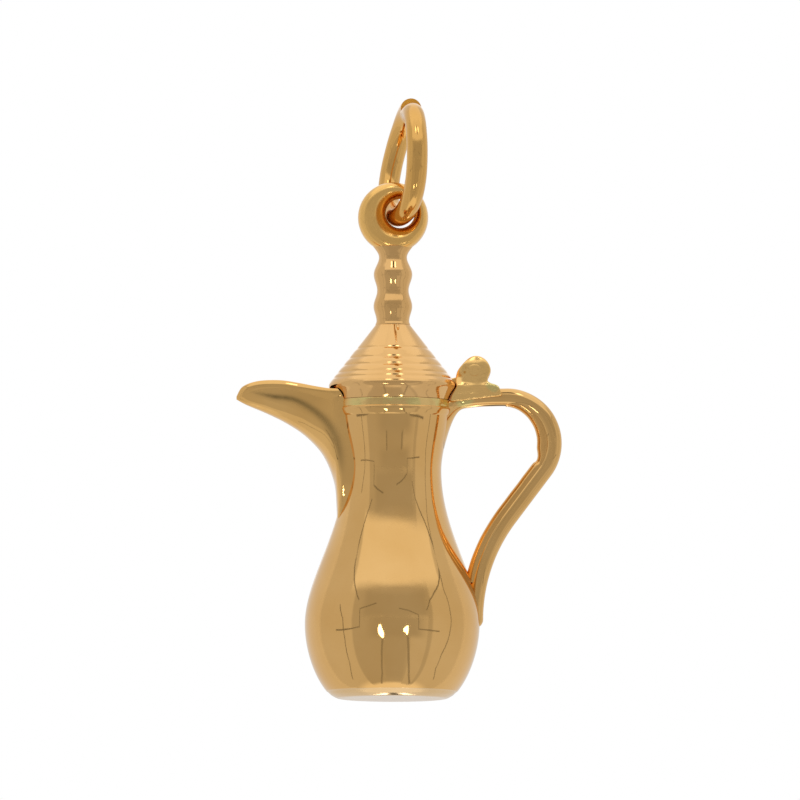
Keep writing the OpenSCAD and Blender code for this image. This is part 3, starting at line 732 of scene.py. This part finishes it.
def rib_section(proud):
    """A rib's section beside the rod, hollow on the rod's side."""
    seat_r = ROD_R - 0.02
    d = seat_r + 0.03 + proud - RIB_R
    a = math.degrees(math.acos((d * d + seat_r * seat_r - RIB_R * RIB_R) / (2 * d * seat_r)))
    edge_x, edge_y = arc((0, 0), seat_r, [a])[0]
    b = math.degrees(math.atan2(edge_y, edge_x - d))
    outer = arc((d, 0), RIB_R, [b - 2 * b * k / RIB_SIDES for k in range(RIB_SIDES + 1)])
    seat = arc((0, 0), seat_r, [-a + 2 * a * k / 8 for k in range(1, 8)])
    return outer + seat


def rib(node, spots, prouds, seed):
    rings = []
    for spot, proud in zip(spots, prouds):
        (x, z), _ = spot
        wave = RIB_UNEVEN * wobble(x, 0, z, 0.7, seed)
        rings.append(placed(spot, rib_section(max(0.02, proud + wave))))
    finish_piece(skin(node + "_gold", rings), "pot", node, "rib_gold")


# The upper rib swells from almost nothing to its full size, and sinks again before the kink.
UPPER_STEPS, UPPER_START, KINK_PROUD, SWELL_END = 72, 0.015, 0.14, 0.8
upper_prouds = []
for i in range(UPPER_STEPS + 1):
    t = i / UPPER_STEPS
    swell = math.sin(math.pi / 2 * min(1.0, t / SWELL_END)) ** 1.2
    rise = UPPER_START + (UPPER_RIB_PROUD - UPPER_START) * swell
    sinking = ease(UPPER_RIB_PROUD, KINK_PROUD, (t - SWELL_END) / (1 - SWELL_END))
    upper_prouds.append(rise if t < SWELL_END else sinking)
rib("handle_upper_rib", arc_spots(BULGE_AT, BULGE_R, 92, KINK_ANGLE, UPPER_STEPS, -1), upper_prouds, 11.0)
low_spots = lower_spots(168)
low_prouds = [ease(KINK_PROUD, LOWER_RIB_PROUD, min(1.0, i / 10)) for i in range(len(low_spots))]
rib("handle_lower_rib", low_spots, low_prouds, 17.0)


# ---------------------------------------------------------------- the hinge
def plate_y(name, outline, width, bevel):
    """A plate across Y with that outline, its edges rounded."""
    n = len(outline)
    points = [(x, y, z) for y in (-width / 2, width / 2) for x, z in outline]
    faces = [tuple(range(n)), tuple(reversed(range(n, 2 * n)))]
    faces += [(i, n + i, n + (i + 1) % n, (i + 1) % n) for i in range(n)]
    plate_piece = make_mesh(name, points, faces)
    mod = plate_piece.modifiers.new("bevel", "BEVEL")
    mod.width, mod.segments = bevel * MM, 4
    mod.limit_method, mod.angle_limit = "ANGLE", math.radians(40)
    apply_modifiers(plate_piece)
    return plate_piece


# The ears' outline, from the lower left corner up over the head to the toe on the top arm.
FORK_OUTLINE = [(2.76, 14.1), (2.77, 14.2), (2.83, 14.4), (2.94, 14.6), (3.03, 14.76), (3.08, 14.9),
                (3.03, 15.05), (2.99, 15.27), (3.08, 15.6), (3.32, 15.92), (3.58, 16.18), (3.86, 16.31),
                (4.17, 16.28), (4.45, 16.09), (4.62, 15.8), (4.65, 15.56), (4.54, 15.28), (4.5, 15.12),
                (4.65, 15.01), (4.9, 14.93), (5.06, 14.8), (5.2, 14.4)]
FORK_BEVEL, FORK_VOXEL = 0.16, 0.03
LOBE_AT, DOME_R, DOME_H, DOME_START_Z = (3.9, 15.42), 0.9, 0.23, 14.9
DISH_AT, DISH_R, DISH_DEPTH = (HINGE[0] + 0.05, HINGE[1] + 0.05), 0.42, 0.05
SPREAD_Z, SPREAD_REACH, SPREAD, FORK_UNEVEN = 14.75, 0.3, 0.05, 0.04
fork = plate_y("hinge_fork_gold", list(reversed(smooth_line(FORK_OUTLINE, 4))), FORK_W, FORK_BEVEL)
remesh = fork.modifiers.new("remesh", "REMESH")
remesh.mode, remesh.voxel_size = "VOXEL", FORK_VOXEL * MM
soften = fork.modifiers.new("soften", "SMOOTH")
soften.factor, soften.iterations = 0.5, 22
apply_modifiers(fork)
for v in fork.data.vertices:
    x, y, z = (c / MM for c in v.co)
    # The pin's end sits in a shallow dish, the lobe is a dome, and the foot spreads a little on the arm.
    dish = DISH_DEPTH * math.exp(-(math.dist((x, z), DISH_AT) / DISH_R) ** 2)
    dome = DOME_H * min(1.0, (math.dist((x, z), LOBE_AT) / DOME_R) ** 2)
    dome *= clamped((z - DOME_START_Z) / 0.4)
    spread = SPREAD * max(0.0, 1 - abs(z - SPREAD_Z) / SPREAD_REACH)
    out_y = FORK_UNEVEN * wobble(x, y, z, 0.45, 23.0) - dish - dome + spread
    v.co.y += out_y * MM * max(-1, min(1, y / 0.3))
    # The side next to the lid follows the lid's round band.
    follow = clamped((3.5 - x) / 0.4) * clamped((15.3 - z) / 0.3)
    v.co.x -= follow * (LID_RIM_R - math.sqrt(LID_RIM_R ** 2 - y * y)) * MM
# The slot between the ears.
slot_low, slot_high = HINGE[1] - KNUCKLE_R - 0.2, HINGE[1] + 2
slot_section = [(-SLOT_W / 2, slot_low), (SLOT_W / 2, slot_low),
                (SLOT_W / 2, slot_high), (-SLOT_W / 2, slot_high)]
cut(fork, skin("slot", [[(x, y, z) for y, z in slot_section] for x in (HINGE[0] - 2, HINGE[0] + 2)]))
cut(fork, cylinder_y("bore", HINGE, PIN_R, FORK_W + 1))
finish_piece(fork, "pot", "hinge_fork", "hinge_gold", crease=40)

# The pin: its low round heads lie just inside the ears' faces.
HEAD_INSET, HEAD_H, HEAD_EDGE_H = 0.12, 0.08, 0.03
head_z = -FORK_W / 2 + HEAD_INSET
pin_profile = [(max(0.01, PIN_HEAD_R * s), head_z - HEAD_H * c) for c, s in map(cos_sin, range(0, 91, 9))]
pin_profile += [(PIN_HEAD_R, head_z + HEAD_EDGE_H), (PIN_R, head_z + HEAD_EDGE_H)]
pin_profile += [(r, -z) for r, z in reversed(pin_profile)]
pin = lathe("hinge_pin_gold", pin_profile, 64)
pin.data.transform(Matrix.Rotation(math.pi / 2, 4, "X"))
pin.data.transform(Matrix.Translation((HINGE[0] * MM, 0, HINGE[1] * MM)))
finish_piece(pin, "pot", "hinge_pin", "hinge_gold")

# ---------------------------------------------------------------- the lid
LID_LOW_Z = STRIP_TOP_Z + 0.01
RIM_ROUND_R, RIM_AT = 0.25, (2.785, 14.87)
GROOVES, GROOVE_DEPTH, GROOVE_HALF_W = (15.21, 15.46, 15.81, 16.17, 16.64), 0.023, 0.06
RIDGE_SWELL, RIDGE_HALF_W, CONE_STEPS = 0.012, 0.15, 180
rim = arc(RIM_AT, RIM_ROUND_R, range(-34, 39, 4))
band = curve([(LID_SEAT_R - 0.04, LID_LOW_Z), (LID_SEAT_R + 0.02, LID_LOW_Z + 0.25),
              (rim[0][0] - 0.06, rim[0][1] - 0.09), rim[0]], 20)[:-1]
cone = []
z_low = rim[-1][1] + 0.01
for i in range(CONE_STEPS + 1):
    z = z_low + (APEX_Z - z_low) * i / CONE_STEPS
    r = rim[-1][0] + (CONE_TOP_R - rim[-1][0]) * i / CONE_STEPS
    nearest = min(abs(z - g) for g in GROOVES)
    if GROOVES[0] < z < GROOVES[-1]:
        r += RIDGE_SWELL * min(1.0, nearest / RIDGE_HALF_W)
    cone.append((r - GROOVE_DEPTH * math.exp(-(nearest / GROOVE_HALF_W) ** 2), z))
ACROSS = WALL * math.sqrt(1 + CONE_SLOPE ** 2)
SPIGOT_R = 0.4
BORE_Z = RIM_Z + (LID_RIM_R - ACROSS - SPIGOT_R) / CONE_SLOPE
LAND_R, LAND_H = LID_SEAT_R - WALL, 0.3
lid_inner = [(SPIGOT_R, APEX_Z), (SPIGOT_R, BORE_Z), (LID_RIM_R - ACROSS, RIM_Z), (LAND_R, LID_Z + LAND_H),
             (LAND_R, LID_LOW_Z)]

LID_UNEVEN, RIDGE_UNEVEN = 0.008, 0.025
PIT_X, PIT_Z, PIT_HALF_W, PIT_HALF_H, PIT_DEPTH = 0.22, APEX_Z - 0.14, 0.05, 0.11, 0.07


def lid_shape(x, y, z):
    """The cone's uneven ridges, and the small casting pit at its front, under the finial."""
    r = math.hypot(x, y)
    if (r < LAND_R and z < RIM_Z) or r < 0.5:
        return (x, y, z)
    out_r = LID_UNEVEN * wobble(x, y, z, 1.0, 31.0)
    if RIM_Z + 0.1 < z < GROOVES[-1] + 0.1:
        z += RIDGE_UNEVEN * wobble(x, y, z, 1.3, 33.0)
    if y < 0 and z > APEX_Z - 0.6:
        out_r -= PIT_DEPTH * math.exp(-((x - PIT_X) / PIT_HALF_W) ** 2 - ((z - PIT_Z) / PIT_HALF_H) ** 2)
    k = 1 + out_r / r
    return (x * k, y * k, z)


lid = lathe("lid_cone_gold", band + rim + cone + lid_inner, 320, shape=lid_shape)
finish_piece(lid, "lid", "lid_cone", "lid_gold", crease=60)

flange_r = MOUTH_R - WALL - 0.15
bore_r, bottom_z = flange_r - 0.35, SEAM_Z - 0.34
flange_profile = rounded([(bore_r, bottom_z), (flange_r, bottom_z), (flange_r, LID_Z), (LAND_R, LID_Z),
                          (LAND_R, LID_Z + LAND_H), (bore_r, LID_Z + LAND_H)], 0.03)
flange = lathe("lid_flange_gold", flange_profile, 192)
finish_piece(flange, "lid", "lid_flange", "seam_gold")

STEM_TOP_Z = STEM_Z + 0.5
finial_profile = waves([(CONE_TOP_R, APEX_Z), (1.04 * WAIST_R, APEX_Z + 0.22 * BEAD_RISE),
                        (BEAD_R, LOWER_BEAD_Z), (WAIST_R, (LOWER_BEAD_Z + UPPER_BEAD_Z) / 2),
                        (BEAD_R, UPPER_BEAD_Z), (STEM_R, STEM_Z), (1.12 * STEM_R, STEM_TOP_Z)], 16)
SPREAD_START_Z, STEM_SPREAD, STEM_THINNING = STEM_Z - 0.1, 0.285, 0.08
finial_wobble = radial_wobble(amount=0.01, size=0.9, seed=41.0, inside_r=0.5)


def finial_shape(x, y, z):
    """The stem spreads along the loop, which is wide across and thin from front to back."""
    x, y, z = finial_wobble(x, y, z)
    t = max(0.0, (z - SPREAD_START_Z) / (STEM_TOP_Z - SPREAD_START_Z))
    return (x * (1 + STEM_SPREAD * t * t), y * (1 - STEM_THINNING * t), z)


SPIGOT_LOW_Z = APEX_Z - 0.4
spigot = [(0.01, SPIGOT_LOW_Z), (SPIGOT_R, SPIGOT_LOW_Z), (SPIGOT_R, APEX_Z)]
finial = lathe("finial_gold", [*spigot, *finial_profile, (0.01, STEM_TOP_Z)], 160, shape=finial_shape)
finish_piece(finial, "lid", "finial", "lid_gold")

# The loop: a thick round ring whose hole lies off its centre.
LOOP_STEPS, LOOP_SIDES = 160, 56
# Powers that shape its section: fuller than an ellipse outside, thinner in the hole, where the ring swings.
FULL, THIN = 0.82, 1.3
loop_points = []
for c, s in circle((0, 0), 1, LOOP_STEPS):
    outer = Vector((LOOP_R * c, LOOP_Z + LOOP_R * s))
    inner_at = Vector((HOLE[0] + LOOP_HOLE_R * c, HOLE[1] + LOOP_HOLE_R * s))
    mid, half = (outer + inner_at) / 2, (outer - inner_at) / 2
    for cb, sb in circle((0, 0), 1, LOOP_SIDES):
        x, z = mid + half * math.copysign(abs(cb) ** (FULL if cb > 0 else THIN), cb)
        y = LOOP_T / 2 * math.copysign(abs(sb) ** (FULL if cb > 0 else 1.0), sb)
        loop_points.append((x, y, z))
loop = make_mesh("suspension_loop_gold", loop_points, grid_faces(LOOP_STEPS, LOOP_SIDES, close_rows=True))
finish_piece(loop, "lid", "suspension_loop", "lid_gold", material=LOOP_GOLD)
second_material(loop, CUT_GOLD, lambda x, y, z: math.dist((x, z), HOLE) < LOOP_HOLE_R + 0.1)

# The lid's half of the hinge: a knuckle with a strap that runs down onto the cone.
strap_outline = arc(HINGE, KNUCKLE_R, range(-88, 181, 6))
strap_outline += [(3.2, 15.42), (3.03, 15.3), (2.85, 15.25), (2.57, 15.27), (2.57, 14.9), (3.12, 14.88)]
strap = plate_y("lid_hinge_strap_gold", strap_outline, KNUCKLE_W, 0.05)
cut(strap, cylinder_y("bore", HINGE, PIN_R + 0.03, KNUCKLE_W + 1))
finish_piece(strap, "lid", "lid_hinge_strap", "hinge_gold", crease=40)

# ---------------------------------------------------------------- the jump ring
RING_STEPS, RING_SIDES, RING_UNEVEN = 240, 40, 0.01
# The ring is slightly long, and over SLIP_ANGLE its front end has slipped down past the back one.
RING_STRETCH, SLIP, SLIP_ANGLE = 0.06, 0.30, math.radians(55)
# It is turned by TURN_LOW degrees at the hole, and by less the higher it goes.
TURN_LOW, TURN_FALL = 19.1, 2.19
ring_at = Vector((HOLE[0] - RING_SHIFT, 0, HOLE[1]))
lean = Matrix.Rotation(math.radians(RING_LEAN), 3, "Y")
gap = RING_SPLIT / RING_R / 2
ring_rings = []
for j in range(RING_STEPS + 1):
    # Along the wire from its back end at the top, round the bottom, to its front end at the top.
    a = gap + (2 * math.pi - 2 * gap) * j / RING_STEPS
    reach = RING_R - SLIP * max(0.0, 1 - (2 * math.pi - a) / SLIP_ANGLE) ** 2
    out = Vector((0, math.sin(a), math.cos(a)))
    up = RING_R - RING_STRETCH + (reach + RING_STRETCH) * math.cos(a)
    centre = Vector((0, reach * math.sin(a), up))
    turn = Matrix.Rotation(math.radians(TURN_LOW - TURN_FALL * centre.z), 3, "Z")
    ring = []
    for x, r in circle((0, 0), WIRE_R, RING_SIDES):
        away = out * x + Vector((r, 0, 0))
        away *= 1 + RING_UNEVEN * wobble(*(centre + away), 0.8, 51.0)
        ring.append(tuple(lean @ (turn @ (centre + away)) + ring_at))
    ring_rings.append(ring)
jump = skin("jump_ring_gold", ring_rings)
finish_piece(jump, "ring", "jump_ring", "ring_gold")
jump.data.materials.append(CUT_GOLD)
# The wire's two cut ends are the only faces with as many corners as the wire has sides.
for face in jump.data.polygons:
    if len(face.vertices) == RING_SIDES:
        face.material_index = 1

# ---------------------------------------------------------------- stage
scene = bpy.context.scene
scene.view_settings.view_transform = "Standard"
CENTRE = Vector((0.000347, 0.0, 0.01422))


def direction(azimuth, elevation):
    """Azimuth 0 is towards the camera, 90 is the handle's side."""
    (ca, sa), (ce, se) = cos_sin(azimuth), cos_sin(elevation)
    return Vector((sa * ce, -ca * ce, se))


# Camera: the photograph looks slightly up at the charm through a long lens.
VIEW_WIDTH, DISTANCE, ELEVATION, ROLL = 0.038, 1.4, -4.0, 0.12
camera_data = bpy.data.cameras.new("camera")
camera_data.sensor_width = 36
camera_data.lens = 36 * DISTANCE / VIEW_WIDTH
camera_data.clip_start, camera_data.clip_end = 0.01, 10
camera = add_object("camera", camera_data)
camera.location = CENTRE + direction(0, ELEVATION) * DISTANCE
look = (CENTRE - camera.location).to_track_quat("-Z", "Y")
camera.rotation_mode = "QUATERNION"
camera.rotation_quaternion = look @ Quaternion((0, 0, 1), math.radians(ROLL))
scene.camera = camera

# World: plain white for the camera and in reflections, and a slightly lower level for soft light.
world = bpy.data.worlds.new("world")
scene.world = world
tree = Shading(world)
background = tree.nodes["Background"]
background.inputs["Color"].default_value = (*WHITE, 1)
path = tree.new("LightPath").outputs
SOFT_LEVEL = 0.9
seen = tree.math("MAXIMUM", path["Is Camera Ray"], path["Is Glossy Ray"])
seen = tree.math("MAXIMUM", seen, path["Is Transmission Ray"])
level = tree.math("ADD", tree.math("MULTIPLY", seen, 1 - SOFT_LEVEL), SOFT_LEVEL)
tree.link(level, background.inputs["Strength"])


def card_material(name, level, soft):
    """A plain light that fades towards the edges by the given shares of the card's width and height."""
    tree = Shading(bpy.data.materials.new(name))
    tree.nodes.clear()
    surface = tree.new("OutputMaterial").inputs["Surface"]
    emit = tree.new("Emission")
    emit.inputs["Color"].default_value = (*WHITE, 1)
    emit.inputs["Strength"].default_value = level
    if max(soft) <= 0:
        tree.link(emit.outputs[0], surface)
        return tree.owner
    uv = tree.new("SeparateXYZ")
    tree.link(tree.new("UVMap").outputs["UV"], uv.inputs[0])
    fades = []
    for axis, share in zip(("X", "Y"), soft):
        off = tree.math("ABSOLUTE", tree.math("SUBTRACT", uv.outputs[axis], 0.5))
        fades.append(tree.soft_step(tree.math("SUBTRACT", 0.5, off), 0.0, share))
    mix = tree.new("MixShader")
    tree.link(tree.math("MULTIPLY", *fades), mix.inputs["Fac"])
    tree.link(tree.new("BsdfTransparent").outputs[0], mix.inputs[1])
    tree.link(emit.outputs[0], mix.inputs[2])
    tree.link(mix.outputs[0], surface)
    return tree.owner


def reflected(name, mesh, level, soft=(0, 0)):
    """Puts up a mesh as a light or dark shape of the studio that only reflections see."""
    mesh.materials.append(card_material(name, level, soft))
    piece = add_object(name, mesh)
    piece.visible_camera = piece.visible_diffuse = piece.visible_shadow = False


CARD_STEPS = 24


def card(name, azimuths, elevations, level, soft, radius, arch=0.0):
    """A curved card on a sphere round the charm, between two azimuths and two elevations.
    Its lower edge may rise by arch degrees towards its middle."""
    points, uvs = [], []
    for j in range(CARD_STEPS + 1):
        for i in range(CARD_STEPS + 1):
            u, v = i / CARD_STEPS, j / CARD_STEPS
            az = azimuths[0] + (azimuths[1] - azimuths[0]) * u
            low_el = elevations[0] + arch * math.sin(math.pi * u)
            el = low_el + (elevations[1] - low_el) * v
            points.append(CENTRE + direction(az, el) * radius)
            uvs.append((u, v))
    mesh = raw_mesh(name, points, grid_faces(CARD_STEPS + 1, CARD_STEPS + 1, close_columns=False))
    layer = mesh.uv_layers.new(name="uv")
    for corner in mesh.loops:
        layer.data[corner.index].uv = uvs[corner.vertex_index]
    reflected(name, mesh, level, soft)


card("card_side_left", (-118, -46), (-66, 52), 0.66, (0.15, 0.1), 0.61)
card("card_side_right", (46, 118), (-66, 52), 0.66, (0.15, 0.1), 0.61)
card("card_back_left", (-170, -105), (-66, 52), 0.75, (0.2, 0.1), 0.62)
card("card_back_right", (105, 170), (-66, 52), 0.75, (0.2, 0.1), 0.62)
card("card_front", (-57, 57), (-68, 41), 0.52, (0.03, 0.06), 0.59)
card("card_front_right", (24, 50), (-68, 27), 0.61, (0.1, 0.04), 0.58)
card("card_slot", (-15, 23), (-66, 30), 0.485, (0.12, 0.15), 0.575)
card("card_neck", (-40, 52), (-19, 8), 0.455, (0.25, 0.25), 0.57)
card("card_bar", (-46, 56), (2, 36), 0.455, (0.12, 0.25), 0.572)
card("card_top", (-66, 82), (25.5, 80), 0.93, (0.03, 0.16), 0.565, 9.0)
card("card_low_back", (118, 242), (-50, 8), 0.76, (0.06, 0.05), 0.60)

THREAD_RADIUS = 0.55


def thread(name, spots, width=1.1, level=0.24):
    """A thin dark line inside the sphere of cards, such as a seam of the light tent. width is in degrees."""
    points = []
    for i, (az, el) in enumerate(spots):
        before, after = knot(spots, i - 1), knot(spots, i + 1)
        across = Vector((after[1] - before[1], before[0] - after[0])).normalized() * width / 2
        for side in (-1, 1):
            points.append(CENTRE + direction(az + side * across.x, el + side * across.y) * THREAD_RADIUS)
    faces = [(2 * i, 2 * i + 1, 2 * i + 3, 2 * i + 2) for i in range(len(spots) - 1)]
    reflected(name, raw_mesh(name, points, faces), level)


thread("seam_left_upper", [(-48, 23), (-56, 29), (-64, 34), (-71, 38)])
thread("seam_left_lower", [(-77, 17), (-69, 4), (-67, -13), (-70, -33), (-84, -47)])
thread("seam_right_upper", [(47, 13), (54, 23), (64, 28), (75, 31), (86, 34)])
thread("seam_right_lower",
       [(85, 33), (82, 28), (84, 18), (84, -2), (82, -14), (77, -24), (77, -36), (88, -45)])
thread("step_left", [(-22, 21), (-34, 18), (-45, 15), (-44, 5), (-44, -5), (-58, -6), (-80, -5)])
thread("step_right", [(9, 16), (22, 13), (35, 8), (35, -8), (50, -8), (66, -8)])
thread("slot_left", [(-13, -15), (-16, -36), (-19, -52), (-30, -66)], 2.8, 0.34)
thread("slot_right", [(21, -15), (26, -36), (33, -51), (48, -64)], 3.2, 0.34)

WINDOW_LEVEL = 7.0


def near_lamp(name, at, width, height, outline):
    """A small bright window in front of the charm, that faces it. Its place and size are in millimetres,
    and its outline is in shares of half its width and height."""
    x, y, z = at
    side = Vector((-y, x, 0)).normalized() * width / 2
    points = [(x + side.x * u, y + side.y * u, z + height / 2 * v) for u, v in outline]
    points = [tuple(c * MM for c in p) for p in points]
    reflected(name, raw_mesh(name, points, [tuple(range(len(points)))]), WINDOW_LEVEL)


near_lamp("window_left", (-7.2, -28.4, -1.2), 3.6, 6.6,
          [(0.45, -1), (0.95, -0.9), (1, -0.35), (0.5, 0.35), (-0.05, 1), (-0.6, 0.95), (-1, 0.3),
           (-0.75, -0.4)])
near_lamp("window_right", (8.3, -27.5, -0.7), 3.0, 4.4,
          [(0.45, -1), (0.95, -0.8), (1, 1), (0.35, 0.9), (-1, 0.25), (-0.85, -0.3), (0.1, -0.4)])

# Two small lamps with the dark camera between them, above in front and again below behind.
card("lamp_upper_left", (-20, -5), (50, 62), 3.5, (0.2, 0.2), 0.52)
card("lamp_upper_right", (16, 28), (50, 62), 3.5, (0.2, 0.2), 0.52)
card("lens_upper", (-3, 14), (47, 66), 0.08, (0.2, 0.2), 0.52)
card("lamp_lower_left", (184, 189), (-62, -44), 6.0, (0.2, 0.2), 0.52)
card("lamp_lower_right", (168, 173), (-62, -44), 6.0, (0.2, 0.2), 0.52)
card("lens_lower", (174, 183), (-66, -40), 0.0, (0.12, 0.12), 0.52)

# Floor: pale, and clear from below, because the photograph looks up past its edge.
FLOOR_R, FLOOR_Z, FLOOR_SIDES = 0.5, -2e-5, 96
floor_points = [(x, y, FLOOR_Z) for x, y in circle((0, 0), FLOOR_R, FLOOR_SIDES)]
floor = add_object("floor", raw_mesh("floor", floor_points, [tuple(range(FLOOR_SIDES))]))
tree = Shading(bpy.data.materials.new("floor"))
tree.nodes.clear()
lit = tree.new("BsdfDiffuse")
lit.inputs["Color"].default_value = (0.8, 0.8, 0.8, 1)
glow = tree.new("Emission")
glow.inputs["Strength"].default_value = 0.28
paint = tree.new("AddShader")
tree.link(lit.outputs[0], paint.inputs[0])
tree.link(glow.outputs[0], paint.inputs[1])
mix = tree.new("MixShader")
tree.link(tree.new("NewGeometry").outputs["Backfacing"], mix.inputs["Fac"])
tree.link(paint.outputs[0], mix.inputs[1])
tree.link(tree.new("BsdfTransparent").outputs[0], mix.inputs[2])
tree.link(mix.outputs[0], tree.new("OutputMaterial").inputs["Surface"])
floor.data.materials.append(tree.owner)
floor.visible_glossy = False
